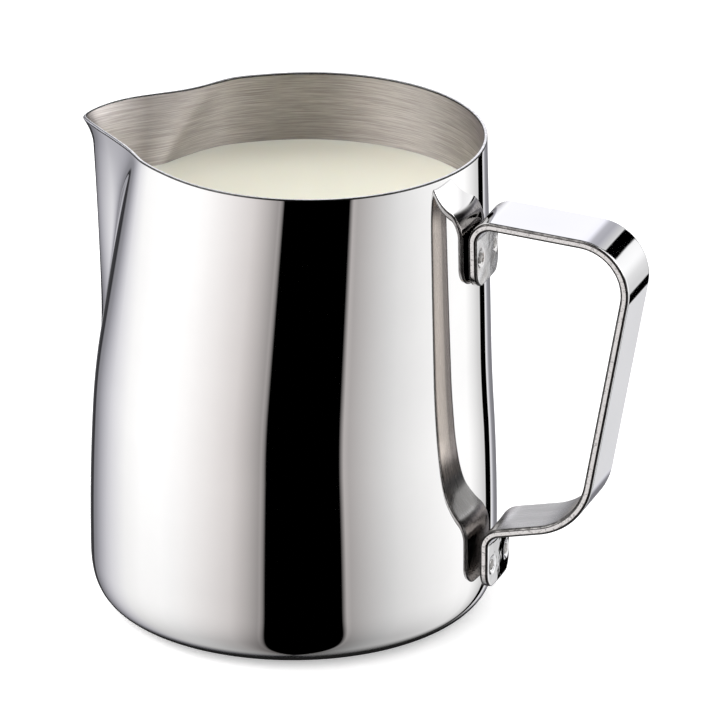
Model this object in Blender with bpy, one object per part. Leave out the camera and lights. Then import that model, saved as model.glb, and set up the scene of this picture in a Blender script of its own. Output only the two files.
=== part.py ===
"""Milk frothing pitcher: drawn steel body, bent strip handle and four spot welds.

Metres, +Z up. The origin is on the body's axis at the resting plane. The
handle points along +X and the pouring spout along -X, and the pitcher is
symmetric about the XZ plane.
"""
import math

import bpy
import numpy as np

MM = 0.001

# Drawn body, millimetres
HEIGHT = 110.0          # rim above the resting plane
MAX_RADIUS = 45.5       # widest part, low on the wall
WALL = 0.8              # sheet thickness
CORNER_WIDTH = 12.7     # radial reach of the rounded base corner
CORNER_HEIGHT = 14.2    # height of the rounded base corner
CORNER_POWER = 3.2      # superellipse power of the corner, 2 is an ellipse
TAPER_START = 16.0      # the wall starts to lean in here
TAPER_FULL = 62.0       # and leans at its full slope from here to the rim
TAPER_SLOPE = 0.0895    # radius lost per millimetre of height
SHIFT_START = 46.0      # pressing the spout pulls the ring towards the handle
SHIFT_SLOPE = 0.0705    # ring centre offset per millimetre above TAPER_FULL

# Pouring spout, pressed out as a rounded V
SPOUT_START = 42.0      # height where the nose begins to rise from the wall
SPOUT_FULL = 58.0       # height where its ridge reaches a straight line
SPOUT_SLOPE = 0.199     # ridge reach gained per millimetre of height
SPOUT_ANGLE_RIM = 29.5  # half angle covered by the V at the rim, degrees
SPOUT_ANGLE_LOW = 11.0  # and where it fades into the wall
SPOUT_OPENING = 3.2     # above 1, the V opens mostly near the rim
SPOUT_NOSE = 0.16       # rounding of the ridge, as a share of the half angle
CREASE_RIM = 0.5        # rounding of the valley at each flank's foot, at the rim
CREASE_LOW = 0.08       # and where the V starts
TIP_DIP = 1.4           # the tip is pressed this much below its lip
LIP_DIP = 0.8           # and the whole lip this much below the rim
LIP_ANGLES = (24.0, 48.0)  # the lip rises to the rim between these angles
SHOULDER = 0.8          # outward swell of the rim just past each valley
SHOULDER_ANGLE = 42.0   # where it is highest, degrees from the ridge
SHOULDER_SPREAD = 10.0
LIP_FLARE = 2.3         # extra reach of the tip, curled outwards
LIP_FLARE_HEIGHT = 6.0  # height of the curled part

# Handle, one bent strip
STRIP_WIDTH = 15.0
STRIP_THICKNESS = 2.0
STRIP_EDGE = 0.6                    # rounding of the strip's long edges
UPPER_TAB_END = 81.4                # height of the upper tab's lower end
LOWER_TAB_END = 9.9                 # height of the lower tab's lower end
LOWER_TAB_STANDOFF = 1.0            # the lower tab sits this much prouder
UPPER_CORNER = (81.47, 94.87)       # centreline corner over the fingers (x, z)
LOWER_CORNER = (69.88, 28.53)       # centreline corner under the fingers
UPPER_ARM_DROOP = math.radians(3.3)
LOWER_ARM_RISE = math.radians(12.9)
UPPER_CORNER_RADIUS = 11.0          # centreline bend radii
LOWER_CORNER_RADIUS = 15.0
TAB_BEND_RADIUS = 4.0
TAB_END_RADIUS = 4.0                # rounded corners of the tab ends
TAB_WRAP = 0.5                      # share of the body's curve the tabs follow
WRAP_REACH = 2.5                    # the strip keeps that curve this far out of the tab
WRAP_FADE = 4.0                     # and loses it over this length
ARM_CLEARANCE = 2.0                 # the curve is also lost this far under the upper corner

# Spot welds
WELD_RADIUS = 1.5
WELD_OFFSET = 4.7                   # either side of the symmetry plane
WELD_DISH = 0.4                     # depth of the electrode's mark
WELD_SINK = 0.15                    # the mark lies this far under the tab's face
UPPER_WELD_HEIGHT = 88.2
LOWER_WELD_HEIGHT = 15.4

GAP = 0.3                           # clearance between touching pieces
CUTTER_LENGTH = 8.0                 # rod that cuts a weld's hole through the tab

# Mesh resolution
SPOUT_COLUMNS = 44                  # across the V and a quarter of it more
SPOUT_MARGIN = 1.25
WALL_COLUMNS = 58
CORNER_ROWS = 6
WALL_HEIGHTS = (22.0, 32.0, 42.0, 50.0, 58.0, 66.0, 76.0, 86.0, 95.0, 101.0,
                104.5, 107.0, 108.6, 110.0)
WELD_SIDES = 24


def ease(value, start, full):
    """Integral of a slope that grows from 0 at start to 1 at full."""
    value = max(value, start)
    if value < full:
        return (value - start) ** 2 / (2 * (full - start))
    return value - (start + full) / 2


def ring_radius(z):
    return MAX_RADIUS - TAPER_SLOPE * ease(z, TAPER_START, TAPER_FULL)


def ring_shift(z):
    return SHIFT_SLOPE * ease(z, SHIFT_START, TAPER_FULL)


def above_spout(z):
    """0 where the V starts to open and 1 at the rim."""
    return min(max((z - SPOUT_FULL) / (HEIGHT - SPOUT_FULL), 0.0), 1.0)


def spout_share(beta, z):
    """1 on the ridge, falling in a straight flank to 0 at the valley."""
    rise = above_spout(z)
    low, rim = SPOUT_ANGLE_LOW, SPOUT_ANGLE_RIM
    half_angle = math.radians(low + (rim - low) * rise ** SPOUT_OPENING)
    nose = SPOUT_NOSE
    crease = CREASE_LOW + (CREASE_RIM - CREASE_LOW) * rise ** 2
    across = math.hypot(beta / half_angle, nose) - nose
    across /= math.hypot(1.0, nose) - nose
    rest = 1.0 - across
    if rest > crease:
        return rest
    if rest < -crease:
        return 0.0
    return (rest + crease) ** 2 / (4 * crease)


def rim_height(beta):
    share = spout_share(beta, HEIGHT)
    near, far = LIP_ANGLES
    turn = abs(math.degrees(math.remainder(beta, 2 * math.pi)))
    lip = min(max((far - turn) / (far - near), 0.0), 1.0)
    return HEIGHT - TIP_DIP * share ** 6 - LIP_DIP * lip * lip * (3 - 2 * lip)


def shoulder(beta, z):
    """Swell of the wall beside the spout, strongest at the rim."""
    turn = abs(math.degrees(math.remainder(beta, 2 * math.pi)))
    return SHOULDER * above_spout(z) * math.exp(-((turn - SHOULDER_ANGLE) / SHOULDER_SPREAD) ** 2)


def wall_point(beta, z):
    """Outside of the wall at angle beta from the spout, below height z.

    Heights above SPOUT_FULL are pressed down with the dipping lip.
    """
    top = rim_height(beta)
    if z > SPOUT_FULL:
        z = SPOUT_FULL + (z - SPOUT_FULL) * (top - SPOUT_FULL) / (HEIGHT - SPOUT_FULL)
    share = spout_share(beta, z)
    reach = SPOUT_SLOPE * ease(z, SPOUT_START, SPOUT_FULL)
    below_lip = min((top - z) / LIP_FLARE_HEIGHT, 1.0)
    reach += LIP_FLARE * (share * (1.0 - below_lip)) ** 2
    rho = ring_radius(z) + reach * share + shoulder(beta, z)
    return ring_shift(z) - rho * math.cos(beta), rho * math.sin(beta), z


def corner_point(beta, turn):
    """Outside of the rounded base corner, turn 0 at the base and 1 at the wall."""
    angle = turn * math.pi / 2
    rho = MAX_RADIUS - CORNER_WIDTH + CORNER_WIDTH * math.sin(angle) ** (2 / CORNER_POWER)
    z = CORNER_HEIGHT * (1.0 - math.cos(angle) ** (2 / CORNER_POWER))
    return -rho * math.cos(beta), rho * math.sin(beta), z


def body_columns():
    """Angles round the body, close together across the spout."""
    edge = math.radians(SPOUT_ANGLE_RIM * SPOUT_MARGIN)
    spout = np.linspace(-edge, edge, SPOUT_COLUMNS + 1)
    rest = np.linspace(edge, 2 * math.pi - edge, WALL_COLUMNS + 1)
    return list(spout) + list(rest[1:-1])


def outside_rows(columns):
    """Rows of outside points from the edge of the flat base to the rim."""
    rows = [[corner_point(b, i / CORNER_ROWS) for b in columns] for i in range(CORNER_ROWS + 1)]
    for height in WALL_HEIGHTS:
        top = height - WALL / 2 if height == HEIGHT else height
        rows.append([wall_point(b, top) for b in columns])
    return np.array(rows)


def outward(rows):
    """Unit normals and upward tangents of a grid of rows and closed columns."""
    around = np.roll(rows, -1, axis=1) - np.roll(rows, 1, axis=1)
    along = np.gradient(rows, axis=0)
    normal = np.cross(along, around)
    normal /= np.linalg.norm(normal, axis=2, keepdims=True)
    along /= np.linalg.norm(along, axis=2, keepdims=True)
    radial = rows * (1, 1, 0)
    if np.sum(normal[-1] * radial[-1]) < 0:
        normal = -normal
    normal[0] = (0, 0, -1)
    return normal, along


def add_object(name, vertices, faces, color, roughness, location=(0.0, 0.0, 0.0)):
    """A named object, given in millimetres, with its own steel material."""
    mesh = bpy.data.meshes.new(name)
    mesh.from_pydata([tuple(float(c) * MM for c in v) for v in vertices], [], faces)
    mesh.validate()
    mesh.update()
    for polygon in mesh.polygons:
        polygon.use_smooth = True
    material = bpy.data.materials.new(name + "_steel")
    material.use_nodes = True
    shader = material.node_tree.nodes["Principled BSDF"]
    shader.inputs["Base Color"].default_value = (*color, 1.0)
    shader.inputs["Metallic"].default_value = 1.0
    shader.inputs["Roughness"].default_value = roughness
    mesh.materials.append(material)
    obj = bpy.data.objects.new(name, mesh)
    obj.location = [c * MM for c in location]
    bpy.context.scene.collection.objects.link(obj)
    return obj


def skin(rings, first, last):
    """Vertices and faces of stacked closed rings, closed by a point at each end."""
    count = len(rings[0])
    vertices = [tuple(p) for ring in rings for p in ring] + [tuple(first), tuple(last)]
    start, end = len(vertices) - 2, len(vertices) - 1
    base = (len(rings) - 1) * count
    faces = []
    for i in range(len(rings) - 1):
        for j in range(count):
            k = (j + 1) % count
            faces.append((i * count + j, i * count + k, (i + 1) * count + k, (i + 1) * count + j))
    for j in range(count):
        k = (j + 1) % count
        faces.append((start, k, j))
        faces.append((end, base + j, base + k))
    return vertices, faces


def make_body():
    """One drawn shell: base, wall, spout, rounded rim and the inside."""
    columns = body_columns()
    outside = outside_rows(columns)
    normal, along = outward(outside)
    inside = outside - WALL * normal
    rim = []
    middle = (outside[-1] + inside[-1]) / 2
    for turn in (0.25, 0.5, 0.75):
        a = turn * math.pi
        rim.append(middle + WALL / 2 * (math.cos(a) * normal[-1] + math.sin(a) * along[-1]))
    half_base = outside[0] * (0.5, 0.5, 1.0)
    half_floor = inside[0] * (0.5, 0.5, 1.0)
    rings = [half_base, *outside, *rim, *inside[::-1], half_floor]
    vertices, faces = skin(rings, (0, 0, 0), (0, 0, WALL))
    return add_object("pitcher_body", vertices, [f[::-1] for f in faces], (0.80, 0.80, 0.81), 0.06)


def tab_x(z):
    """Centreline of the upper tab, standing clear of the tapering wall."""
    return ring_radius(z) + ring_shift(z) + GAP + STRIP_THICKNESS / 2


def lower_tab_x():
    return MAX_RADIUS + GAP + STRIP_THICKNESS / 2 + LOWER_TAB_STANDOFF


def strip_corners():
    """Corners and bend radii of the strip's centreline in the XZ plane."""
    (ux, uz), (lx, lz) = UPPER_CORNER, LOWER_CORNER
    top_z = uz + (ux - tab_x(uz)) * math.tan(UPPER_ARM_DROOP)
    low_x = lower_tab_x()
    low_z = lz - (lx - low_x) * math.tan(LOWER_ARM_RISE)
    points = [(tab_x(UPPER_TAB_END), UPPER_TAB_END), (tab_x(top_z), top_z), UPPER_CORNER,
              LOWER_CORNER, (low_x, low_z), (low_x, LOWER_TAB_END)]
    radii = (TAB_BEND_RADIUS, UPPER_CORNER_RADIUS, LOWER_CORNER_RADIUS, TAB_BEND_RADIUS)
    return [np.array(p) for p in points], radii


def strip_path():
    """Stations along the strip: point, heading, wrap and distance to the nearer end."""
    points, radii = strip_corners()
    stations = []
    last = points[0]
    steps = (7, 10, 8, 7)
    for i, radius in enumerate(radii):
        before, corner, after = points[i], points[i + 1], points[i + 2]
        arrive = (corner - before) / np.linalg.norm(corner - before)
        leave = (after - corner) / np.linalg.norm(after - corner)
        start_angle = math.atan2(arrive[1], arrive[0])
        turn = math.atan2(arrive[0] * leave[1] - arrive[1] * leave[0], float(arrive @ leave))
        tangent = radius * math.tan(abs(turn) / 2)
        start = corner - arrive * tangent
        side = math.copysign(1.0, turn)
        centre = start + side * radius * np.array((-arrive[1], arrive[0]))
        straight = np.linalg.norm(start - last)
        for k in range(4):
            stations.append((last + arrive * straight * k / 4, start_angle))
        for k in range(steps[i]):
            angle = start_angle + turn * k / steps[i]
            spoke = np.array((math.sin(angle), -math.cos(angle)))
            stations.append((centre + side * radius * spoke, angle))
        last = corner + leave * tangent
    heading = math.atan2(*(points[-1] - last)[::-1])
    for k in range(5):
        stations.append((last + (points[-1] - last) * k / 4, heading))
    return stations


def end_stations(stations):
    """Add stations close to both ends so the tab corners come out round."""
    steps = (0.0, 0.25, 0.8, 1.8, 3.0)
    first, last = stations[0], stations[-1]
    ahead = np.array((math.cos(first[1]), math.sin(first[1])))
    back = -np.array((math.cos(last[1]), math.sin(last[1])))
    keep = [s for s in stations[1:-1]
            if np.linalg.norm(s[0] - first[0]) > TAB_END_RADIUS - 0.2
            and np.linalg.norm(s[0] - last[0]) > TAB_END_RADIUS - 0.2]
    head = [(first[0] + ahead * d, first[1]) for d in steps]
    tail = [(last[0] + back * d, last[1]) for d in reversed(steps)]
    return head + keep + tail


def strip_section(half_width):
    """Rounded flat bar: (across, through) points in order round the section."""
    half = STRIP_THICKNESS / 2
    flat = half_width - STRIP_EDGE
    corners = ((flat, half - STRIP_EDGE, 0), (-flat, half - STRIP_EDGE, 90),
               (-flat, STRIP_EDGE - half, 180), (flat, STRIP_EDGE - half, 270))
    section = []
    for i, (y, n, start) in enumerate(corners):
        for k in range(3):
            a = math.radians(start + 45 * k)
            section.append((y + STRIP_EDGE * math.cos(a), n + STRIP_EDGE * math.sin(a)))
        if i in (0, 2):
            side = half if i == 0 else -half
            across = (0.5, 0.0, -0.5) if i == 0 else (-0.5, 0.0, 0.5)
            section += [(flat * share, side) for share in across]
    return section


def weld_levels():
    """Name, height and tab centreline of each pair of welds."""
    return (("upper", UPPER_WELD_HEIGHT, tab_x(UPPER_WELD_HEIGHT)),
            ("lower", LOWER_WELD_HEIGHT, lower_tab_x()))


def make_handle():
    """Strip swept along its path, with rounded tab ends and holes for the welds."""
    stations = end_stations(strip_path())
    first, last = stations[0][0], stations[-1][0]
    upper_arm_z = UPPER_CORNER[1] - ARM_CLEARANCE
    rings = []
    for point, heading in stations:
        ends = min(np.linalg.norm(point - first), np.linalg.norm(point - last))
        half_width = STRIP_WIDTH / 2
        if ends < TAB_END_RADIUS:
            inset = TAB_END_RADIUS - ends
            half_width += math.sqrt(TAB_END_RADIUS ** 2 - inset ** 2) - TAB_END_RADIUS
        past_tab = max(0.0, point[0] - first[0] - WRAP_REACH)
        wrap = TAB_WRAP * max(0.0, 1.0 - past_tab / WRAP_FADE)
        if point[1] > upper_arm_z:
            wrap *= max(0.0, 1.0 - (point[1] - upper_arm_z) / WRAP_FADE)
        ring = []
        for y, n in strip_section(half_width):
            lean = MAX_RADIUS - math.sqrt(MAX_RADIUS ** 2 - y ** 2)
            x = point[0] - n * math.sin(heading) - wrap * lean
            ring.append((x, y, point[1] + n * math.cos(heading)))
        rings.append(ring)
    ends = [np.mean(np.array(ring), axis=0) for ring in (rings[0], rings[-1])]
    vertices, faces = skin(rings, *ends)
    handle = add_object("handle", vertices, faces, (0.82, 0.82, 0.83), 0.08)
    for _, z, x in weld_levels():
        for y in (-WELD_OFFSET, WELD_OFFSET):
            cut_hole(handle, x, y, z)
    return handle


def rod(radius, length, dish=0.0):
    """Round rod along +X from the origin, with a dished outer end."""
    def ring(r, x):
        turns = [2 * math.pi * k / WELD_SIDES for k in range(WELD_SIDES)]
        return [(x, r * math.cos(t), r * math.sin(t)) for t in turns]
    rings = [ring(radius * 0.6, 0.0), ring(radius, 0.0), ring(radius, length)]
    for share in (0.85, 0.6, 0.3):
        rings.append(ring(radius * share, length - dish * (1 - share ** 2)))
    return skin(rings, (0, 0, 0), (length - dish, 0, 0))


def cut_hole(handle, x, y, z):
    """Clearance hole for one weld, cut through the tab along X."""
    vertices, faces = rod(WELD_RADIUS + GAP, CUTTER_LENGTH)
    start = x - CUTTER_LENGTH / 2
    cutter = add_object("hole_cutter", vertices, faces, (0.5, 0.5, 0.5), 0.5, (start, y, z))
    cutter.hide_render = True
    cutter.display_type = "WIRE"
    cut = handle.modifiers.new("weld_hole", "BOOLEAN")
    cut.operation = "DIFFERENCE"
    cut.solver = "EXACT"
    cut.object = cutter


def make_weld(name, tab_centre, y, z):
    """One fused nugget, seen as a dished round mark in the tab."""
    near = abs(y) - WELD_RADIUS
    low = z - WELD_RADIUS
    wall = ring_shift(low) + math.sqrt(ring_radius(low) ** 2 - near ** 2)
    lean = TAB_WRAP * (MAX_RADIUS - math.sqrt(MAX_RADIUS ** 2 - y ** 2))
    length = tab_centre + STRIP_THICKNESS / 2 - lean - WELD_SINK - wall - GAP
    vertices, faces = rod(WELD_RADIUS, length, WELD_DISH)
    return add_object(name, vertices, faces, (0.62, 0.62, 0.63), 0.25, (wall + GAP, y, z))


def main():
    for obj in list(bpy.data.objects):
        bpy.data.objects.remove(obj)
    make_body()
    make_handle()
    for level, z, x in weld_levels():
        for side, y in (("front", -WELD_OFFSET), ("back", WELD_OFFSET)):
            make_weld("spot_weld_" + level + "_" + side, x, y, z)


main()
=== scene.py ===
"""Looks of the milk frothing pitcher: polished body, strip handle, weld marks, milk and studio."""
import math

import bmesh
import bpy
import numpy as np
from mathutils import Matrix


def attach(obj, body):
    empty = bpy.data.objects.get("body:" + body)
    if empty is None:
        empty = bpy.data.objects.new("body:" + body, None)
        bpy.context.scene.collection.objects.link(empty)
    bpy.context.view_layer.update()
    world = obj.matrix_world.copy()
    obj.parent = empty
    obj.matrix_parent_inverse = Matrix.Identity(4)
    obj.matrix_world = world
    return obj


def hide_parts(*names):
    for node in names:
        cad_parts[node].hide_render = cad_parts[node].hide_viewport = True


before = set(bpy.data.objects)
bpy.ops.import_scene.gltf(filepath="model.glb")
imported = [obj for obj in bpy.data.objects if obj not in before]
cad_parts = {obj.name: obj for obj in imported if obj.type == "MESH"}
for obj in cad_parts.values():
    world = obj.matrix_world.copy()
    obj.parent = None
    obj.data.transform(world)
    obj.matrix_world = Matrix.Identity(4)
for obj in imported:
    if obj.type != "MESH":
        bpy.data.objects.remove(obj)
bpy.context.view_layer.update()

MM = 0.001

# Drawn body, millimetres, the same design as the CAD model
HEIGHT = 110.0
MAX_RADIUS = 45.5
WALL = 0.8
CORNER_WIDTH = 12.7
CORNER_HEIGHT = 14.2
CORNER_POWER = 3.2       # 2 would be an ellipse
TAPER_START = 16.0
TAPER_FULL = 62.0
TAPER_SLOPE = 0.0895
SHIFT_START = 46.0       # the rings move towards the handle above this height
SHIFT_SLOPE = 0.0705

# Pouring spout
SPOUT_START = 42.0
SPOUT_FULL = 58.0
SPOUT_SLOPE = 0.199
SPOUT_ANGLE_RIM = 29.5
SPOUT_ANGLE_LOW = 11.0
SPOUT_OPENING = 3.2
SPOUT_NOSE = 0.16
CREASE_RIM = 0.5
CREASE_LOW = 0.08
TIP_DIP = 1.4
TIP_SHARPNESS = 6
LIP_DIP = 0.8
LIP_ANGLES = (24.0, 48.0)
SHOULDER = 0.8           # how far the wall swells out beside the spout
SHOULDER_ANGLE = 42.0
SHOULDER_SPREAD = 10.0
LIP_FLARE = 2.3
LIP_FLARE_HEIGHT = 6.0

# Body mesh
SPOUT_COLUMNS = 200      # across the V and half of it more
SPOUT_MARGIN = 1.5
WALL_COLUMNS = 190
CORNER_ROWS = 30
WALL_ROWS = 64
LIP_ROWS = 16
LIP_START = 98.0         # the wall rows get closer together above this height
RIM_ROWS = 9
RIM_SQUARENESS = 0.5     # 1 would be a half round rim
RIM_CORNERS = (3, 3)     # rows of the rim's outer and inner rounded corner
BASE_SHARES = (0.08, 0.3, 0.6, 0.85, 0.96)
OUTSIDE, RIM_CORNER, INSIDE, UNDERSIDE, RIM_TOP = range(5)     # finishes, in make_body's order

# Handle strip
STRIP_WIDTH = 15.0
STRIP_THICKNESS = 2.0
STRIP_EDGE = 0.6
UPPER_TAB_END = 81.4
LOWER_TAB_END = 9.9
LOWER_TAB_STANDOFF = 1.0
UPPER_CORNER = (81.47, 94.87)
LOWER_CORNER = (69.88, 28.53)
UPPER_ARM_DROOP = math.radians(3.3)
LOWER_ARM_RISE = math.radians(12.9)
UPPER_CORNER_RADIUS = 11.0
LOWER_CORNER_RADIUS = 15.0
TAB_BEND_RADIUS = 4.0
TAB_END_RADIUS = 4.0
TAB_WRAP = 0.5
WRAP_REACH = 2.5
TAB_REACH = 52.0         # nothing but the tabs is this close to the body's axis
TAB_UPRIGHT = 0.2        # and the tabs are the upright part of that
WRAP_FADE = 4.0
ARM_CLEARANCE = 2.0
GAP = 0.3

# Handle mesh
STATION_STEP = 0.5
BEND_STEP = math.radians(3.0)
WIDE_COLUMNS = 48
EDGE_COLUMNS = 6
CORNER_COLUMNS = 6
POLISHED_ABOVE = 0.85    # a rounded edge that faces outwards more than this is still polished
END_TURNS = 12           # steps of the quarter turn that spaces the stations at a tab's end
EDGE_STRIDE = 2          # the small edge takes every second one
CORNER_SKIP = 4          # and the tab's corner leaves out those that the edge covers
THIN_EDGE = 0.02         # the least edge radius, at the very end
ON_FACE = 0.5            # what faces outwards more than this takes the craters
OUTER, CUT, FINGERS, ROUNDED = range(4)     # finishes, in make_handle's order

# Spot welds and the craters that they lie in
WELD_OFFSET = 4.7
WELD_LEVELS = {"upper": 88.2, "lower": 15.4}
WELD_RADIUS = 1.25
WELD_TOP = 0.12          # lip of the mark below the tab's face
WELD_DISH = 0.16
CRATER_DEPTH = 0.55
CRATER_FLOOR = 1.35
CRATER_RADIUS = 1.9
WELD_LIFT = 0.05         # between the weld's foot and the crater's floor
WELD_SIDES = 48
# Share of the radius and of the height, from the foot over the side to the lip
WELD_PROFILE = ((0.3, 0.0), (0.75, 0.0), (0.96, 0.0), (1.0, 0.06), (1.0, 0.7), (0.97, 0.88),
                (0.9, 1.0), (0.8, 1.0), (0.68, 0.9))
DISH_SHARES = (0.55, 0.38, 0.2)
DISH_EDGE = 0.8          # share of the radius at which the dish starts
DISH_DROP = 0.1          # share of the height that it lies below the lip

# Milk, on show in the pitcher and not part of it
MILK_LEVEL = 92.8
MILK_DEPTH = 6.0
MENISCUS = 0.7
MENISCUS_REACH = 1.2
MILK_EDGE = 0.6          # how far into the wall the milk's edge lies, so that no gap shows
MILK_UNDERSIDE = (0.3, 0.9, 1.0)
MILK_INSETS = (0.0, 0.3, 0.7, 1.2, 1.8, 2.6, 3.6, 5.0, 8.0, 14.0, 22.0, 32.0)
MILK_MIDDLE = 0.05       # the smallest ring, as a share of the outline

# Camera, floor and contact shade
VIEW_AZIMUTH = math.radians(20.4)
CAMERA_REACH = 1.825737  # metres from the pitcher's axis
CAMERA_HEIGHT = 0.816507
CAMERA_PITCH = math.radians(67.3793)
CAMERA_YAW = math.radians(19.9354)
CAMERA_LENS = 445.17
SENSOR = 36.0
CLIP = (0.05, 30.0)      # metres
FLOOR_RADIUS = 6.0       # metres
FLOOR_GLOW = 0.42
SHADE_RADIUS = 60.0      # disc that mirrors see, dark where the body stands
SHADE_LEVEL = -0.02
SHADE_DARK = 41.6
SHADE_CLEAR = 45.0
SHADE_SHIFT = 1.0        # towards the handle, where the contact is darker
DISC_SIDES = 96


# ---------------------------------------------------------------- shapes

def ease(value, start, full):
    """Integral of a slope that grows from 0 at start to 1 at full."""
    run = np.maximum(value - start, 0.0)
    rise = full - start
    return np.where(run < rise, run ** 2 / (2 * rise), run - rise / 2)


def smooth_step(share):
    """0 to 1 with level ends."""
    return share * share * (3 - 2 * share)


def ring_radius(z):
    """Radius of the round body at this height."""
    return MAX_RADIUS - TAPER_SLOPE * ease(z, TAPER_START, TAPER_FULL)


def ring_shift(z):
    """How far the round body's centre has moved towards the handle."""
    return SHIFT_SLOPE * ease(z, SHIFT_START, TAPER_FULL)


def above_spout(z):
    """0 where the spout starts to open and 1 at the rim."""
    return np.clip((z - SPOUT_FULL) / (HEIGHT - SPOUT_FULL), 0.0, 1.0)


def spout_share(beta, z):
    """1 on the spout's ridge, falling in a straight flank to 0 at the valley."""
    rise = above_spout(z)
    half_angle = SPOUT_ANGLE_LOW + (SPOUT_ANGLE_RIM - SPOUT_ANGLE_LOW) * rise ** SPOUT_OPENING
    nose = SPOUT_NOSE
    crease = CREASE_LOW + (CREASE_RIM - CREASE_LOW) * rise ** 2
    across = np.hypot(beta / np.radians(half_angle), nose) - nose
    rest = 1.0 - across / (math.hypot(1.0, nose) - nose)
    bend = np.clip(rest + crease, 0.0, None) ** 2 / (4 * crease)
    return np.where(rest > crease, rest, bend)


def wrapped(beta):
    """Angle from the spout's ridge in degrees, 0 to 180."""
    return np.degrees(np.abs((beta + math.pi) % (2 * math.pi) - math.pi))


def rim_height(beta):
    """Height of the rim, which dips at the spout's tip and a little beside it."""
    share = spout_share(beta, HEIGHT)
    near, far = LIP_ANGLES
    lip = np.clip((far - wrapped(beta)) / (far - near), 0.0, 1.0)
    return HEIGHT - TIP_DIP * share ** TIP_SHARPNESS - LIP_DIP * smooth_step(lip)


def wall_point(beta, height):
    """Outside of the wall at angle beta from the spout, the lip dipping with the rim."""
    top = rim_height(beta)
    pressed = SPOUT_FULL + (height - SPOUT_FULL) * (top - SPOUT_FULL) / (HEIGHT - SPOUT_FULL)
    z = np.where(height > SPOUT_FULL, pressed, height)
    share = spout_share(beta, z)
    reach = SPOUT_SLOPE * ease(z, SPOUT_START, SPOUT_FULL)
    below_lip = np.minimum((top - z) / LIP_FLARE_HEIGHT, 1.0)
    reach = reach + LIP_FLARE * (share * (1.0 - below_lip)) ** 2
    off_shoulder = (wrapped(beta) - SHOULDER_ANGLE) / SHOULDER_SPREAD
    swell = SHOULDER * above_spout(z) * np.exp(-off_shoulder ** 2)
    rho = ring_radius(z) + reach * share + swell
    return np.stack([ring_shift(z) - rho * np.cos(beta), rho * np.sin(beta), z], axis=-1)


def corner_point(beta, turn):
    """Outside of the rounded base corner, turn 0 at the base and 1 at the wall."""
    angle = turn * math.pi / 2
    power = 2 / CORNER_POWER
    rho = MAX_RADIUS - CORNER_WIDTH * (1.0 - math.sin(angle) ** power)
    z = CORNER_HEIGHT * (1.0 - max(math.cos(angle), 0.0) ** power)
    return np.stack([-rho * np.cos(beta), rho * np.sin(beta), np.full_like(beta, z)], axis=-1)


def body_columns():
    """Angles round the body, close together across the spout."""
    edge = math.radians(SPOUT_ANGLE_RIM * SPOUT_MARGIN)
    spout = np.linspace(-edge, edge, SPOUT_COLUMNS + 1)
    rest = np.linspace(edge, 2 * math.pi - edge, WALL_COLUMNS + 1)
    return np.concatenate([spout, rest[1:-1]])


def outside_rows(beta):
    """Rows of outside points from the edge of the flat base to the rim."""
    corner = [corner_point(beta, turn) for turn in np.linspace(0.0, 1.0, CORNER_ROWS + 1)]
    wall = np.linspace(CORNER_HEIGHT, LIP_START, WALL_ROWS + 1)[1:]
    lip = np.linspace(LIP_START, HEIGHT - WALL / 2, LIP_ROWS + 1)[1:]
    return np.array(corner + [wall_point(beta, h) for h in np.concatenate([wall, lip])])


def normals_of(rows):
    """Outward unit normals and upward unit tangents of closed rows."""
    around = np.roll(rows, -1, axis=1) - np.roll(rows, 1, axis=1)
    along = np.gradient(rows, axis=0)
    normal = np.cross(around, along)
    normal /= np.linalg.norm(normal, axis=2, keepdims=True)
    along = along / np.linalg.norm(along, axis=2, keepdims=True)
    if np.sum(normal[-1] * rows[-1] * (1, 1, 0)) < 0:
        normal = -normal
    normal[0] = (0, 0, -1)
    return normal, along


def place_object(name, data):
    """New object for a mesh or camera, in the scene."""
    piece = bpy.data.objects.new(name, data)
    bpy.context.scene.collection.objects.link(piece)
    return piece


def skin_faces(levels, count):
    """Quads between neighbouring rings, and a fan to a centre point at each end."""
    i, j = np.meshgrid(np.arange(levels - 1), np.arange(count), indexing="ij")
    k = (j + 1) % count
    quads = np.stack([i * count + j, i * count + k, (i + 1) * count + k, (i + 1) * count + j], axis=-1)
    column = np.arange(count)
    following = (column + 1) % count
    centre = levels * count
    base = centre - count
    start = np.stack([np.full(count, centre), following, column], axis=-1)
    stop = np.stack([np.full(count, centre + 1), base + column, base + following], axis=-1)
    return quads.reshape(-1, 4).tolist() + start.tolist() + stop.tolist()


def face_outwards(mesh):
    """Turn every face's normal away from the inside."""
    turned = bmesh.new()
    turned.from_mesh(mesh)
    bmesh.ops.recalc_face_normals(turned, faces=turned.faces)
    turned.to_mesh(mesh)
    turned.free()


def closed_skin(name, rings, finish, materials):
    """A closed piece from stacked rings in millimetres, with a fan of faces on each end.

    finish gives each face's material, by ring and by column.
    """
    rings = np.asarray(rings, float)
    levels, count = rings.shape[:2]
    ends = [rings[0].mean(axis=0), rings[-1].mean(axis=0)]
    points = np.concatenate([rings.reshape(-1, 3), ends]) * MM
    faces = skin_faces(levels, count)
    finish = np.asarray(finish)
    slots = np.concatenate([finish.reshape(-1), finish[0], finish[-1]])
    mesh = bpy.data.meshes.new(name)
    mesh.from_pydata(points.tolist(), [], faces)
    for material in materials:
        mesh.materials.append(material)
    mesh.polygons.foreach_set("material_index", slots.astype(np.int32))
    mesh.polygons.foreach_set("use_smooth", np.ones(len(faces), dtype=bool))
    face_outwards(mesh)
    return place_object(name, mesh)


def plain_skin(name, rings, material):
    """A closed piece with one finish all over."""
    rings = np.asarray(rings, float)
    return closed_skin(name, rings, np.zeros((len(rings) - 1, rings.shape[1]), int), [material])


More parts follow.
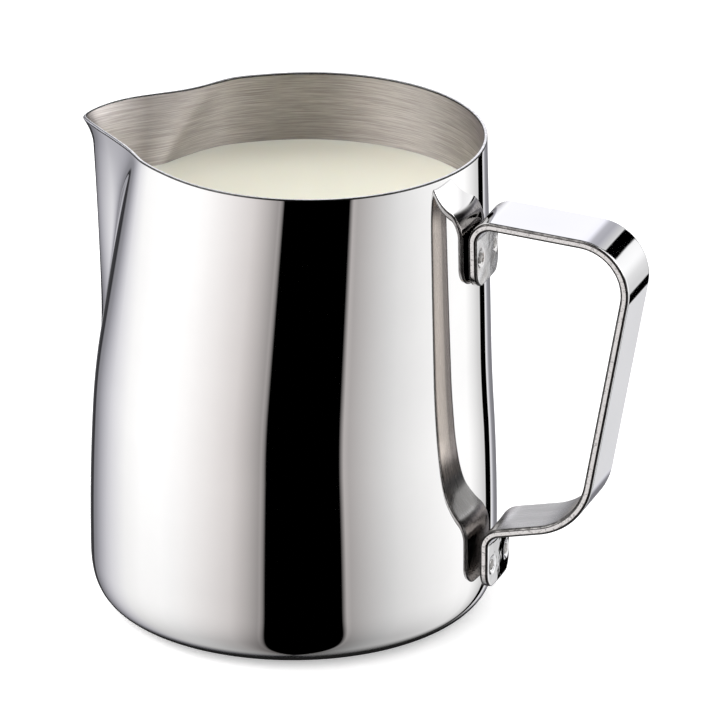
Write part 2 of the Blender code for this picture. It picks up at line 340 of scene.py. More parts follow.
def flat_disc(name, radius, level, material):
    """Flat round disc, its radius and level in metres."""
    turns = np.linspace(0.0, 2 * math.pi, DISC_SIDES, endpoint=False)
    points = [(radius * math.cos(t), radius * math.sin(t), level) for t in turns]
    mesh = bpy.data.meshes.new(name)
    mesh.from_pydata(points, [], [list(range(DISC_SIDES))])
    mesh.materials.append(material)
    return place_object(name, mesh)


def rim_rows(outer, inner, normal, along):
    """Rim between the outer and inner edge, nearly flat on top with rounded corners."""
    middle = (outer + inner) / 2
    rows = []
    for turn in np.linspace(0.0, math.pi, RIM_ROWS + 2)[1:-1]:
        out = math.copysign(abs(math.cos(turn)) ** RIM_SQUARENESS, math.cos(turn))
        up = math.sin(turn) ** RIM_SQUARENESS
        rows.append(middle + WALL / 2 * (out * normal + up * along))
    return rows


def make_body(polished, corner_finish, brushed, turned, rim_finish):
    """Base, wall, spout, rim and brushed inside as one sheet."""
    beta = body_columns()
    outside = outside_rows(beta)
    normal, along = normals_of(outside)
    inside = outside - WALL * normal
    rim = rim_rows(outside[-1], inside[-1], normal[-1], along[-1])
    base = [outside[0] * (share, share, 1.0) for share in BASE_SHARES]
    floor = [inside[0] * (share, share, 1.0) for share in reversed(BASE_SHARES)]
    rings = base + list(outside) + rim + list(inside[::-1]) + floor
    outer_end = len(base) + len(outside) - 1
    inner_start = outer_end + len(rim) + 1
    finish = np.full((len(rings) - 1, len(beta)), OUTSIDE)
    finish[:len(base)] = UNDERSIDE
    finish[outer_end:inner_start] = RIM_CORNER
    finish[outer_end + RIM_CORNERS[0]:inner_start - RIM_CORNERS[1]] = RIM_TOP
    finish[inner_start:] = INSIDE
    return closed_skin("pitcher_body_polished", rings, finish,
                       [polished, corner_finish, brushed, turned, rim_finish])


def tab_x(z):
    """Centreline of the upper tab, standing clear of the tapering wall."""
    return float(ring_radius(z) + ring_shift(z)) + GAP + STRIP_THICKNESS / 2


def lower_tab_x():
    """Centreline of the lower tab, standing off the upright wall."""
    return MAX_RADIUS + GAP + STRIP_THICKNESS / 2 + LOWER_TAB_STANDOFF


def strip_corners():
    """Corners of the strip's centreline in the XZ plane, and their bend radii."""
    (ux, uz), (lx, lz) = UPPER_CORNER, LOWER_CORNER
    top_z = uz + (ux - tab_x(uz)) * math.tan(UPPER_ARM_DROOP)
    low_x = lower_tab_x()
    low_z = lz - (lx - low_x) * math.tan(LOWER_ARM_RISE)
    points = [(tab_x(UPPER_TAB_END), UPPER_TAB_END), (tab_x(top_z), top_z), UPPER_CORNER,
              LOWER_CORNER, (low_x, low_z), (low_x, LOWER_TAB_END)]
    radii = (TAB_BEND_RADIUS, UPPER_CORNER_RADIUS, LOWER_CORNER_RADIUS, TAB_BEND_RADIUS)
    return [np.array(p) for p in points], radii


def straight_stations(start, stop, heading):
    """Evenly spaced points from start up to, and without, stop."""
    count = max(1, round(np.linalg.norm(stop - start) / STATION_STEP))
    return [(start + (stop - start) * k / count, heading) for k in range(count)]


def strip_stations():
    """Points and headings along the strip, bends included, from tab end to tab end."""
    points, radii = strip_corners()
    stations = []
    last = points[0]
    for before, corner, after, radius in zip(points, points[1:], points[2:], radii):
        arrive = (corner - before) / np.linalg.norm(corner - before)
        leave = (after - corner) / np.linalg.norm(after - corner)
        heading = math.atan2(arrive[1], arrive[0])
        turn = math.atan2(arrive[0] * leave[1] - arrive[1] * leave[0], float(arrive @ leave))
        tangent = radius * math.tan(abs(turn) / 2)
        side = math.copysign(1.0, turn)
        start = corner - arrive * tangent
        centre = start + side * radius * np.array((-arrive[1], arrive[0]))
        stations += straight_stations(last, start, heading)
        steps = max(2, round(abs(turn) / BEND_STEP))
        for k in range(steps):
            angle = heading + turn * k / steps
            spoke = np.array((math.sin(angle), -math.cos(angle)))
            stations.append((centre + side * radius * spoke, angle))
        last = corner + leave * tangent
    heading = math.atan2(*(points[-1] - last)[::-1])
    stations += straight_stations(last, points[-1], heading)
    stations.append((points[-1], heading))
    return round_ends(stations)


def round_ends(stations):
    """Close stations near both ends, where the tab's corners and edges are round."""
    rise = 1 - np.cos(np.linspace(0.0, math.pi / 2, END_TURNS + 1))
    steps = np.concatenate([STRIP_EDGE * rise[::EDGE_STRIDE], TAB_END_RADIUS * rise[CORNER_SKIP:]])
    steps = np.unique(np.round(steps, 4))
    first, last = stations[0], stations[-1]
    ahead = np.array((math.cos(first[1]), math.sin(first[1])))
    back = -np.array((math.cos(last[1]), math.sin(last[1])))
    clear = TAB_END_RADIUS + STATION_STEP / 2
    keep = [s for s in stations if np.linalg.norm(s[0] - first[0]) > clear
            and np.linalg.norm(s[0] - last[0]) > clear]
    head = [(first[0] + ahead * d, first[1]) for d in steps]
    tail = [(last[0] + back * d, last[1]) for d in steps[::-1]]
    return head + keep + tail


def section_pattern():
    """Rounded flat bar: flat shares, edge directions and finish of each point's face."""
    corners = ((1, 1), (-1, 1), (-1, -1), (1, -1))
    flats = (OUTER, CUT, FINGERS, CUT)
    rows = []
    for quarter, (a, b) in enumerate(corners):
        for k in range(CORNER_COLUMNS + 1):
            angle = math.pi / 2 * (quarter + k / CORNER_COLUMNS)
            outward = math.sin(angle + math.pi / 4 / CORNER_COLUMNS)
            edge = OUTER if outward > POLISHED_ABOVE else ROUNDED
            finish = flats[quarter] if k == CORNER_COLUMNS else edge
            rows.append((a, b, math.cos(angle), math.sin(angle), finish))
        wide = quarter % 2 == 0
        count = WIDE_COLUMNS if wide else EDGE_COLUMNS
        for k in range(1, count):
            share = 1 - 2 * k / count
            if wide:
                rows.append((a * share, b, 0.0, b, flats[quarter]))
            else:
                rows.append((a, b * share, a, 0.0, CUT))
    return np.array(rows)


def crater(y, z):
    """How far the face of a tab is pressed in round the welds."""
    press = np.zeros_like(y)
    for level in WELD_LEVELS.values():
        for side in (-WELD_OFFSET, WELD_OFFSET):
            away = np.hypot(y - side, z - level)
            share = np.clip((CRATER_RADIUS - away) / (CRATER_RADIUS - CRATER_FLOOR), 0.0, 1.0)
            press += CRATER_DEPTH * smooth_step(share)
    return press


def end_rounding(distance, radius):
    """Inset of a rounded corner at this distance from the end."""
    rest = max(radius - distance, 0.0)
    return radius - math.sqrt(radius ** 2 - rest ** 2)


def wrap_share(point, tab_end):
    """How much of the body's roundness the strip takes up: most on the tabs, none on the grip."""
    past_tab = max(0.0, point[0] - tab_end[0] - WRAP_REACH)
    up_arm = max(0.0, point[1] - (UPPER_CORNER[1] - ARM_CLEARANCE))
    return TAB_WRAP * max(0.0, 1.0 - past_tab / WRAP_FADE) * max(0.0, 1.0 - up_arm / WRAP_FADE)


def make_handle(polished, cut, fingers, edge_finish):
    """One strip bent to a grip, with rounded tab ends and pressed weld craters."""
    stations = strip_stations()
    a, b, c, s, slots = section_pattern().T
    first, last = stations[0][0], stations[-1][0]
    rings = []
    for point, heading in stations:
        ends = min(np.linalg.norm(point - first), np.linalg.norm(point - last))
        inset = end_rounding(ends, STRIP_EDGE)
        edge = max(STRIP_EDGE - inset, THIN_EDGE)
        half_width = STRIP_WIDTH / 2 - end_rounding(ends, TAB_END_RADIUS) - inset
        y = a * (half_width - edge) + edge * c
        n = b * (STRIP_THICKNESS / 2 - inset - edge) + edge * s
        z = point[1] + n * math.cos(heading)
        if point[0] < TAB_REACH and abs(math.cos(heading)) < TAB_UPRIGHT:
            # The strip's outer face looks outwards on the lower tab, and at the body on the upper one
            outer = 1 if point[1] < UPPER_TAB_END / 2 else -1
            n = n - outer * np.where((b == outer) & (s * outer > ON_FACE), crater(y, z), 0.0)
        lean = MAX_RADIUS - np.sqrt(MAX_RADIUS ** 2 - y ** 2)
        x = point[0] - n * math.sin(heading) - wrap_share(point, first) * lean
        rings.append(np.stack([x, y, point[1] + n * math.cos(heading)], axis=-1))
    finish = np.tile(slots.astype(int), (len(rings) - 1, 1))
    return closed_skin("handle_strip", rings, finish, [polished, cut, fingers, edge_finish])


def make_weld(name, x, y, z, material):
    """Dished nugget lying in its crater, its face towards +X."""
    height = CRATER_DEPTH - WELD_LIFT - WELD_TOP
    lip = x - WELD_TOP
    levels = [(share, lip - height * (1 - up)) for share, up in WELD_PROFILE]
    for share in DISH_SHARES:
        dish = WELD_DISH * (1 - (share / DISH_EDGE) ** 2)
        levels.append((share, lip - dish - height * DISH_DROP))
    turns = np.linspace(0.0, 2 * math.pi, WELD_SIDES, endpoint=False)
    rings = []
    for share, out in levels:
        radius = WELD_RADIUS * share
        rings.append(np.stack([np.full_like(turns, out), y + radius * np.cos(turns),
                               z + radius * np.sin(turns)], axis=-1))
    return plain_skin(name, rings, material)


def make_milk(material):
    """Milk up to MILK_LEVEL, drawn up a little where it meets the steel."""
    beta = body_columns()
    outline = wall_point(beta, np.full_like(beta, MILK_LEVEL)) * (1, 1, 0)
    centre = np.array((float(ring_shift(MILK_LEVEL)), 0.0, 0.0))
    reach = np.linalg.norm(outline - centre, axis=1, keepdims=True)
    outline = centre + (outline - centre) * (1 - MILK_EDGE * WALL / reach)
    rings = []
    for share in MILK_UNDERSIDE:
        rings.append(centre + (outline - centre) * share + (0, 0, MILK_LEVEL - MILK_DEPTH))
    for inset in MILK_INSETS:
        share = np.maximum(1 - inset / reach, MILK_MIDDLE)
        rise = MENISCUS * math.exp(-inset / MENISCUS_REACH)
        rings.append(centre + (outline - centre) * share + (0, 0, MILK_LEVEL + rise))
    return plain_skin("milk", rings, material)


def make_floor(material):
    """Plain floor, a flat disc far wider than any view."""
    floor = flat_disc("studio_floor", FLOOR_RADIUS, 0.0, material)
    floor.visible_glossy = False
    return floor


def make_shade(material):
    """The dark contact under the body, as the polished steel mirrors it."""
    shade = flat_disc("contact_shade", SHADE_RADIUS * MM, SHADE_LEVEL * MM, material)
    shade.location.x = SHADE_SHIFT * MM
    shade.visible_camera = False
    shade.visible_diffuse = False
    shade.visible_shadow = False
    return shade


# ------------------------------------------------------------- materials

BRUSH_SPREAD = 0.85          # how much brushing spreads gloss one way only

# Where the strip's finishes, painted shade and painted reflection change, in millimetres: none at the
# first, in full at the second
DENTED_X = (52.5, 49.5)      # dents in the outer face, on the lower tab
DENTED_Z = (45.0, 35.0)
UPPER_TAB_SHADE_X = (48.5, 46.0)  # outer face with painted shade, on the upper tab, against the body
UPPER_TAB_SHADE_Z = (50.0, 60.0)
LOWER_TAB_SHADE_X = (51.5, 48.5)  # and painted shade on the inner face, on the lower tab, against the body
LOWER_TAB_SHADE_Z = (50.0, 40.0)
BRUSHED_X = (47.5, 53.0)     # inner face beyond the tabs
GRIP_REFLECTION_X = (64.0, 67.0)        # inner face of the grip, with a painted warm reflection
# Painted shade on the grip's inner face, near both edges and, by the share below, towards +Y
SHADED_EDGES = (5.6, 6.4)     # painted shade, off its middle
SHADED_SIDE = (1.0, 2.4)      # and painted shade towards +Y
SIDE_SHADE = 0.5


class Nodes:
    """Short helper that adds and links shader nodes."""

    def __init__(self, tree):
        self.tree = tree
        tree.nodes.clear()

    def add(self, kind, inputs=(), **settings):
        node = self.tree.nodes.new(kind)
        for key, value in settings.items():
            setattr(node, key, value)
        for key, value in dict(inputs).items():
            if isinstance(value, bpy.types.NodeSocket):
                self.tree.links.new(value, node.inputs[key])
            else:
                node.inputs[key].default_value = value
        return node

    def math(self, operation, a, b=0.0):
        return self.add("ShaderNodeMath", {0: a, 1: b}, operation=operation).outputs[0]

    def times(self, a, b):
        return self.math("MULTIPLY", a, b)

    def blend(self, first, second, share):
        """The given share of the first value and the rest of the second."""
        return self.math("ADD", self.times(first, share), self.times(second, 1 - share))

    def vector(self, operation, *inputs):
        return self.add("ShaderNodeVectorMath", enumerate(inputs), operation=operation).outputs

    def mix(self, share, first, second):
        return self.add("ShaderNodeMix", {0: share, 2: first, 3: second}).outputs[0]

    def mix_colours(self, share, first, second):
        return self.add("ShaderNodeMix", {0: share, 6: first, 7: second}, data_type="RGBA").outputs[2]

    def parts(self, vector):
        return self.add("ShaderNodeSeparateXYZ", {"Vector": vector}).outputs

    def span(self, value, low, high, to_low=0.0, to_high=1.0, smooth=False):
        """Map low..high to to_low..to_high, clamped."""
        kind = "SMOOTHSTEP" if smooth else "LINEAR"
        inputs = {"Value": value, "From Min": low, "From Max": high, "To Min": to_low, "To Max": to_high}
        return self.add("ShaderNodeMapRange", inputs, interpolation_type=kind).outputs["Result"]

    def fade(self, value, places, to_high=1.0, smooth=True):
        """0 at the first place and to_high at the second, both in millimetres."""
        none, full = places
        return self.span(value, none * MM, full * MM, 0.0, to_high, smooth)

    def ramp(self, value, stops):
        """Colour ramp from (position, grey or colour) stops."""
        node = self.add("ShaderNodeValToRGB", {"Fac": value})
        elements = node.color_ramp.elements
        for index, (place, shade) in enumerate(stops):
            element = elements[index] if index < 2 else elements.new(place)
            element.position = place
            colour = (shade,) * 3 if isinstance(shade, float) else shade
            element.color = (*colour, 1.0)
        return node.outputs["Color"]

    def noise(self, vector, scale, detail, rough):
        inputs = {"Vector": vector, "Scale": scale, "Detail": detail, "Roughness": rough}
        return self.add("ShaderNodeTexNoise", inputs).outputs["Fac"]

    def bump(self, height, distance, normal=None):
        inputs = {"Height": height, "Distance": distance, "Strength": 1.0}
        if normal is not None:
            inputs["Normal"] = normal
        return self.add("ShaderNodeBump", inputs).outputs["Normal"]

    def place(self):
        return self.add("ShaderNodeTexCoord").outputs["Object"]

    def off_axis(self):
        """Distance from the object's Z axis."""
        return self.vector("LENGTH", self.vector("MULTIPLY", self.place(), (1.0, 1.0, 0.0))[0])["Value"]


def new_material(name):
    """Empty node material and its helper."""
    material = bpy.data.materials.new(name)
    material.use_nodes = True
    return material, Nodes(material.node_tree)


def steel_shader(nodes, colour, roughness, normal, brushed_along=None):
    """Metallic shader with its output, its gloss spread across the brushing if there is any."""
    inputs = {"Base Color": colour, "Metallic": 1.0, "Roughness": roughness, "Normal": normal}
    if brushed_along is not None:
        inputs.update({"Anisotropic": BRUSH_SPREAD, "Anisotropic Rotation": 0.25, "Tangent": brushed_along})
    shader = nodes.add("ShaderNodeBsdfPrincipled", inputs)
    nodes.add("ShaderNodeOutputMaterial", {"Surface": shader.outputs["BSDF"]})


def around_axis(nodes, along_turn, along_height):
    """Coordinates stretched round the pitcher's axis, so noise becomes hoop-wise lines."""
    place = nodes.place()
    unit = nodes.vector("NORMALIZE", nodes.vector("MULTIPLY", place, (1.0, 1.0, 0.0))[0])[0]
    hoop = nodes.vector("MULTIPLY", unit, (along_turn,) * 3)[0]
    rise = nodes.vector("MULTIPLY", place, (0.0, 0.0, along_height))[0]
    return nodes.vector("ADD", hoop, rise)[0]


def polished_steel():
    """Mirror polish with faint drawing waves, hoop-wise buffing lines and a few smears."""
    material, nodes = new_material("polished_steel")
    place = nodes.place()
    waves = nodes.noise(place, 26.0, detail=1.0, rough=0.3)
    lines = nodes.noise(around_axis(nodes, 5.0, 1500.0), 1.0, detail=6.0, rough=0.6)
    smears = nodes.noise(place, 70.0, detail=5.0, rough=0.65)
    normal = nodes.bump(waves, 0.01 * MM)
    normal = nodes.bump(lines, 0.0002 * MM, normal)
    roughness = nodes.span(smears, 0.35, 0.75, 0.012, 0.035)
    colour = nodes.ramp(smears, ((0.3, (0.885, 0.877, 0.875)), (0.75, (0.91, 0.903, 0.90))))
    steel_shader(nodes, colour, roughness, normal)
    return material


def brushed_steel_inside():
    """Satin inside, brushed round and round, so its highlights spread up and down."""
    material, nodes = new_material("brushed_inside")
    fine = nodes.noise(around_axis(nodes, 4.5, 5200.0), 1.0, detail=3.0, rough=0.65)
    broad = nodes.noise(around_axis(nodes, 0.8, 1100.0), 1.0, detail=2.0, rough=0.5)
    lines = nodes.blend(fine, broad, 0.93)
    colour = nodes.ramp(lines, ((0.34, (0.32, 0.294, 0.282)), (0.5, (0.42, 0.388, 0.372)),
                                (0.66, (0.55, 0.518, 0.50))))
    roughness = nodes.span(fine, 0.3, 0.7, 0.46, 0.38)
    hoop = nodes.add("ShaderNodeTangent", direction_type="RADIAL", axis="Z").outputs["Tangent"]
    steel_shader(nodes, colour, roughness, nodes.bump(lines, 0.018 * MM), hoop)
    return material


def ground_steel(name, dark, bright, roughest, smoothest):
    """Steel ground round the rim, from a dark to a bright grey."""
    material, nodes = new_material(name)
    grain = nodes.noise(around_axis(nodes, 40.0, 2500.0), 1.0, detail=5.0, rough=0.6)
    colour = nodes.ramp(grain, ((0.3, dark), (0.7, bright)))
    roughness = nodes.span(grain, 0.3, 0.7, roughest, smoothest)
    steel_shader(nodes, colour, roughness, nodes.bump(grain, 0.006 * MM))
    return material


def rim_steel():
    """Top of the rim: ground flat and polished."""
    return ground_steel("polished_rim", (0.70, 0.70, 0.71), (0.92, 0.92, 0.92), 0.26, 0.14)


def corner_steel():
    """Corners of the rim, near-black: painted shade along the rim's edges."""
    # Painted shade: near-black colour on the rim's rounded corners
    return ground_steel("rim_corner_shade", 0.02, 0.10, 0.22, 0.12)


def turned_base():
    """Underside with fine rings from polishing it on a wheel, scuffed where it stands."""
    material, nodes = new_material("turned_base")
    inputs = {"W": nodes.off_axis(), "Scale": 2600.0, "Detail": 4.0}
    rings = nodes.add("ShaderNodeTexNoise", inputs, noise_dimensions="1D").outputs["Fac"]
    scuffs = nodes.noise(nodes.place(), 240.0, detail=6.0, rough=0.7)
    both = nodes.blend(rings, scuffs, 0.6)
    colour = nodes.ramp(both, ((0.35, (0.6, 0.6, 0.61)), (0.65, (0.78, 0.78, 0.79))))
    roughness = nodes.span(both, 0.35, 0.65, 0.38, 0.22)
    steel_shader(nodes, colour, roughness, nodes.bump(both, 0.01 * MM))
    return material


def polished_strip():
    """Outer face and its edges: mirror polish, dented on the lower tab, with painted shade on the upper one
    where it lies against the body.
    """
    material, nodes = new_material("polished_strip")
    place = nodes.place()
    waves = nodes.noise(place, 60.0, detail=2.0, rough=0.4)
    scratches = nodes.noise(place, 900.0, detail=4.0, rough=0.6)
    dents = nodes.noise(place, 260.0, detail=2.0, rough=0.4)
    parts = nodes.parts(place)
    on_tab = nodes.times(nodes.fade(parts["X"], DENTED_X), nodes.fade(parts["Z"], DENTED_Z))
    normal = nodes.bump(waves, 0.03 * MM)
    normal = nodes.bump(nodes.times(dents, on_tab), 0.16 * MM, normal)
    roughness = nodes.span(scratches, 0.35, 0.7, 0.02, 0.06)
    bright = nodes.ramp(waves, ((0.3, (0.85, 0.85, 0.86)), (0.7, (0.88, 0.88, 0.89))))
    # Painted shade: the upper tab's outer face is darker where it lies against the body
    painted_dark = nodes.ramp(scratches, ((0.35, (0.20, 0.19, 0.185)), (0.65, (0.34, 0.33, 0.32))))
    above = nodes.fade(parts["Z"], UPPER_TAB_SHADE_Z, smooth=False)
    tab_shade = nodes.times(nodes.fade(parts["X"], UPPER_TAB_SHADE_X), above)
    steel_shader(nodes, nodes.mix_colours(tab_shade, bright, painted_dark), roughness, normal)
    return material


def tumbled_edge():
    """Cut sides of the strip: tumbled bright, with darker speckles."""
    material, nodes = new_material("tumbled_edge")
    place = nodes.place()
    speckle = nodes.noise(place, 1900.0, detail=2.0, rough=0.6)
    broad = nodes.noise(place, 420.0, detail=3.0, rough=0.5)
    pitted = nodes.blend(speckle, broad, 0.75)
    colour = nodes.ramp(pitted, ((0.38, (0.6, 0.598, 0.596)), (0.46, (0.97, 0.968, 0.966)), (0.6, 1.0)))
    roughness = nodes.span(speckle, 0.35, 0.65, 0.2, 0.1)
    steel_shader(nodes, colour, roughness, nodes.bump(pitted, 0.02 * MM))
    return material


def shaded_rolled_edge():
    """Rounded edges beside the cut sides, near-black with painted shade."""
    material, nodes = new_material("shaded_rolled_edge")
    shade_pattern = nodes.noise(nodes.place(), 800.0, detail=4.0, rough=0.6)
    # Painted shade: near-black colour along the rounded edges
    colour = nodes.ramp(shade_pattern, ((0.35, (0.05, 0.049, 0.048)), (0.65, (0.20, 0.197, 0.194))))
    roughness = nodes.span(shade_pattern, 0.3, 0.7, 0.3, 0.16)
    steel_shader(nodes, colour, roughness, nodes.bump(shade_pattern, 0.01 * MM))
    return material


def satin_colour(nodes, parts, brush, dents, beyond_tabs):
    """Bright on the tabs, grey on the arms, painted shade on the lower tab against the body, and on the
    grip a painted warm reflection with painted shade at its edges and towards +Y.
    """
    satin = nodes.ramp(brush, ((0.3, (0.42, 0.415, 0.41)), (0.7, (0.53, 0.525, 0.52))))
    shiny = nodes.ramp(dents, ((0.3, (0.72, 0.70, 0.69)), (0.7, (0.92, 0.92, 0.94))))
    # Painted shade, on the lower tab's face against the body and on the grip's edges
    painted_dark = nodes.ramp(brush, ((0.3, (0.17, 0.155, 0.145)), (0.7, (0.30, 0.275, 0.26))))
    # Painted warm reflection on the grip's inner face
    warm_reflection = nodes.ramp(brush, ((0.3, (0.66, 0.60, 0.545)), (0.7, (0.80, 0.735, 0.675))))
    below = nodes.fade(parts["Z"], LOWER_TAB_SHADE_Z, smooth=False)
    tab_shade = nodes.times(nodes.fade(parts["X"], LOWER_TAB_SHADE_X), below)
    on_grip = nodes.fade(parts["X"], GRIP_REFLECTION_X)
    # Painted shade near the grip's edges and towards +Y
    edges = nodes.fade(nodes.math("ABSOLUTE", parts["Y"]), SHADED_EDGES)
    shade_pattern = nodes.math("MAXIMUM", edges, nodes.fade(parts["Y"], SHADED_SIDE, SIDE_SHADE))
    colour = nodes.mix_colours(beyond_tabs, shiny, satin)
    colour = nodes.mix_colours(tab_shade, colour, painted_dark)
    colour = nodes.mix_colours(on_grip, colour, warm_reflection)
    return nodes.mix_colours(nodes.times(on_grip, shade_pattern), colour, painted_dark)


def satin_strip():
    """Face towards the fingers: brushed along the strip, and shinier and dented on the tabs."""
    material, nodes = new_material("satin_strip")
    place = nodes.place()
    parts = nodes.parts(place)
    stretched = nodes.vector("MULTIPLY", place, (60.0, 3000.0, 60.0))[0]
    brush = nodes.noise(stretched, 1.0, detail=5.0, rough=0.65)
    dents = nodes.noise(place, 330.0, detail=2.0, rough=0.4)
    beyond_tabs = nodes.fade(parts["X"], BRUSHED_X)
    satin = nodes.span(brush, 0.3, 0.7, 0.34, 0.24)
    shiny = nodes.span(brush, 0.3, 0.7, 0.26, 0.18)
    roughness = nodes.mix(beyond_tabs, shiny, satin)
    colour = satin_colour(nodes, parts, brush, dents, beyond_tabs)
    dent_height = nodes.times(dents, nodes.math("SUBTRACT", 1.0, beyond_tabs))
    normal = nodes.bump(dent_height, 0.12 * MM, nodes.bump(brush, 0.004 * MM))
    steel_shader(nodes, colour, roughness, normal)
    return material


def weld_steel():
    """Fused nugget: grey with darker patches, finely pitted."""
    material, nodes = new_material("weld_nugget")
    place = nodes.place()
    pits = nodes.noise(place, 3000.0, detail=4.0, rough=0.7)
    heat = nodes.noise(place, 700.0, detail=2.0, rough=0.5)
    colour = nodes.ramp(heat, ((0.35, (0.20, 0.19, 0.18)), (0.65, (0.52, 0.51, 0.50))))
    roughness = nodes.span(pits, 0.3, 0.7, 0.36, 0.2)
    steel_shader(nodes, colour, roughness, nodes.bump(pits, 0.03 * MM))
    return material


def plain_shader(nodes, inputs):
    """Non-metallic shader with its output."""
    shader = nodes.add("ShaderNodeBsdfPrincipled", inputs)
    nodes.add("ShaderNodeOutputMaterial", {"Surface": shader.outputs["BSDF"]})


def milk_material():
    """Whole milk: creamy and slightly translucent."""
    material, nodes = new_material("whole_milk")
    drift = nodes.noise(nodes.place(), 30.0, detail=2.0, rough=0.4)
    colour = nodes.ramp(drift, ((0.3, (0.84, 0.825, 0.70)), (0.7, (0.88, 0.865, 0.74))))
    plain_shader(nodes, {"Base Color": colour, "Roughness": 0.35, "Subsurface Weight": 0.35,
                         "Subsurface Radius": (0.004, 0.003, 0.002), "Subsurface Scale": 1.0})
    return material


def floor_material():
    """Pale matt board."""
    material, nodes = new_material("pale_floor")
    fibre = nodes.noise(nodes.place(), 900.0, detail=3.0, rough=0.6)
    colour = nodes.ramp(fibre, ((0.3, 0.90), (0.7, 0.94)))
    plain_shader(nodes, {"Base Color": colour, "Roughness": 0.9, "Specular IOR Level": 0.0,
                         "Emission Color": (1.0, 1.0, 1.0, 1.0), "Emission Strength": FLOOR_GLOW})
    return material


def shade_material():
    """Black under the body and clear a little outside it."""
    material, nodes = new_material("contact_shade")
    clear = nodes.fade(nodes.off_axis(), (SHADE_DARK, SHADE_CLEAR))
    dark = nodes.add("ShaderNodeBsdfDiffuse", {"Color": (0.01, 0.01, 0.01, 1.0)}).outputs[0]
    open_air = nodes.add("ShaderNodeBsdfTransparent").outputs[0]
    mixed = nodes.add("ShaderNodeMixShader", {0: clear, 1: dark, 2: open_air}).outputs[0]
    nodes.add("ShaderNodeOutputMaterial", {"Surface": mixed})
    return material


# ---------------------------------------------------------------- studio

# Brightness of the studio round the pitcher, by degrees to the right of the photographer: a card
# on each side, a dark gap in front, and a narrow dark gap at the left back. The first stops of
# this ring, the upper and cool ones and the table's fade were read off the steel's reflections in
# the photo, and then changed.
CARD_RING = (
    (-180, 0.60), (-173, 0.40), (-167, 0.05), (-157.5, 0.03), (-155.5, 0.22), (-150, 0.25),
    (-140, 0.42), (-125, 0.70), (-110, 0.91), (-95, 1.0), (-80, 1.0), (-65, 0.92), (-50, 0.78),
    (-35, 0.62), (-25, 0.42), (-19, 0.28), (-17.5, 0.36), (-16, 0.0), (26, 0.0), (27.5, 0.42),
    (31, 0.37), (45, 0.54), (60, 0.71), (75, 0.82), (105, 1.0), (118, 1.0), (136, 0.62), (150, 0.79),
    (156, 0.25), (166, 0.18), (175, 0.55), (180, 0.60),
)
# The same above eye level, where the cards end and the ceiling begins
UPPER_RING = (
    (-180, 0.98), (-173, 0.90), (-165, 0.15), (-158, 0.15), (-151, 0.65), (-135, 0.80), (-60, 0.72),
    (-32, 0.35), (-16, 0.02), (45, 0.02), (60, 0.25), (90, 0.60), (115, 0.90), (130, 1.0),
    (140, 0.80), (157, 0.40), (164, 0.45), (170, 0.92), (180, 0.98),
)
EYE_LEVEL = (-9.0, 4.0)      # degrees of elevation over which the first gives way to the second
# Share of that light left, by elevation: down to the table, and up to the ceiling
TABLE_FADE = ((-90, 0.25), (-74, 0.38), (-62, 0.48), (-50, 0.57), (-33, 0.80), (-24, 0.91), (-18, 1.0),
              (0, 1.05))
CEILING_FADE = ((0, 1.0), (33, 1.0), (46, 0.06), (73, 0.06), (80, 0.85), (90, 0.85))
OVERHEAD_LAMP = (76.0, 84.0)
GAP_SPREAD = 0.0085          # the front gap widens by this share for each degree below GAP_LEVEL
GAP_LEVEL = -17.0
GAP_REACH = 30.0             # and everything beyond this azimuth moves along
# Large soft boxes under the ceiling, bright to the left and weaker to the right
BOX_RING = ((-180, 0.0), (-125, 0.0), (-105, 0.8), (-80, 1.0), (-62, 1.0), (-38, 0.45), (-14, 0.0),
            (18, 0.0), (38, 0.3), (60, 0.8), (85, 0.6), (115, 0.0), (180, 0.0))
BOX_LIGHT = 3.2
BOX_FOOT = (6.0, 20.0)
BOX_TOP = (80.0, 66.0)
# Shares of slightly blue and slightly warm light, by the same angles
COOL_RING = ((-180, 0.2), (-160, 1.0), (-145, 1.0), (-110, 0.0), (149, 0.0), (156, 0.9), (168, 0.9),
             (180, 0.2))
COOL_TINT = (0.985, 0.98, 1.075, 1.0)
WARM_RING = ((-180, 0.0), (-75, 0.0), (-30, 0.9), (-16, 1.0), (26, 1.0), (40, 0.4), (55, 0.0), (180, 0.0))
WARM_TINT = (1.045, 0.985, 0.97, 1.0)
WHITE = (1.0, 1.0, 1.0, 1.0)
STAND_AZIMUTH = 144.5        # a dark light stand at the right back, wider at its top
STAND_LEAN = 0.08
STAND_HALF_WIDTH = 4.8
STAND_FOOT = -24.0
STAND_TOP = 9.0
HEAD_AZIMUTH = 141.2         # and the head of a lamp above it
HEAD_HALF_WIDTH = 5.2
HEAD_FOOT = 12.0
HEAD_TOP = 34.0
SOFT_SIDE = 0.5              # degrees over which a side or an end of these fades
SOFT_END = 2.0
STEEL_GREY = 0.86            # reflectance that the studio's brightness is balanced against
DIFFUSE_LIGHT = 0.95         # for matt surfaces, all round
DIFFUSE_KEY = 2.2            # and added from the left
DIFFUSE_KEY_FROM = (-0.857, -0.046, 0.512)
DIFFUSE_KEY_SHARPNESS = 6.0
BACKDROP = 1.1               # what the camera sees behind the floor


def angle_ramp(nodes, angle, stops, low=-180, high=180):
    """Ramp over an angle in degrees, from (angle, brightness) stops."""
    share = nodes.span(angle, low, high)
    return nodes.ramp(share, [((place - low) / (high - low), float(shade)) for place, shade in stops])


def studio_angles(nodes, direction):
    """Azimuth to the right of the photographer, and elevation, in degrees."""
    inputs = {"Vector": direction, "Angle": -VIEW_AZIMUTH}
    turned = nodes.add("ShaderNodeVectorRotate", inputs, rotation_type="Z_AXIS").outputs["Vector"]
    parts = nodes.parts(turned)
    azimuth = nodes.math("DEGREES", nodes.math("ARCTAN2", parts["X"], nodes.times(parts["Y"], -1.0)))
    return azimuth, nodes.math("DEGREES", nodes.math("ARCSINE", parts["Z"]))


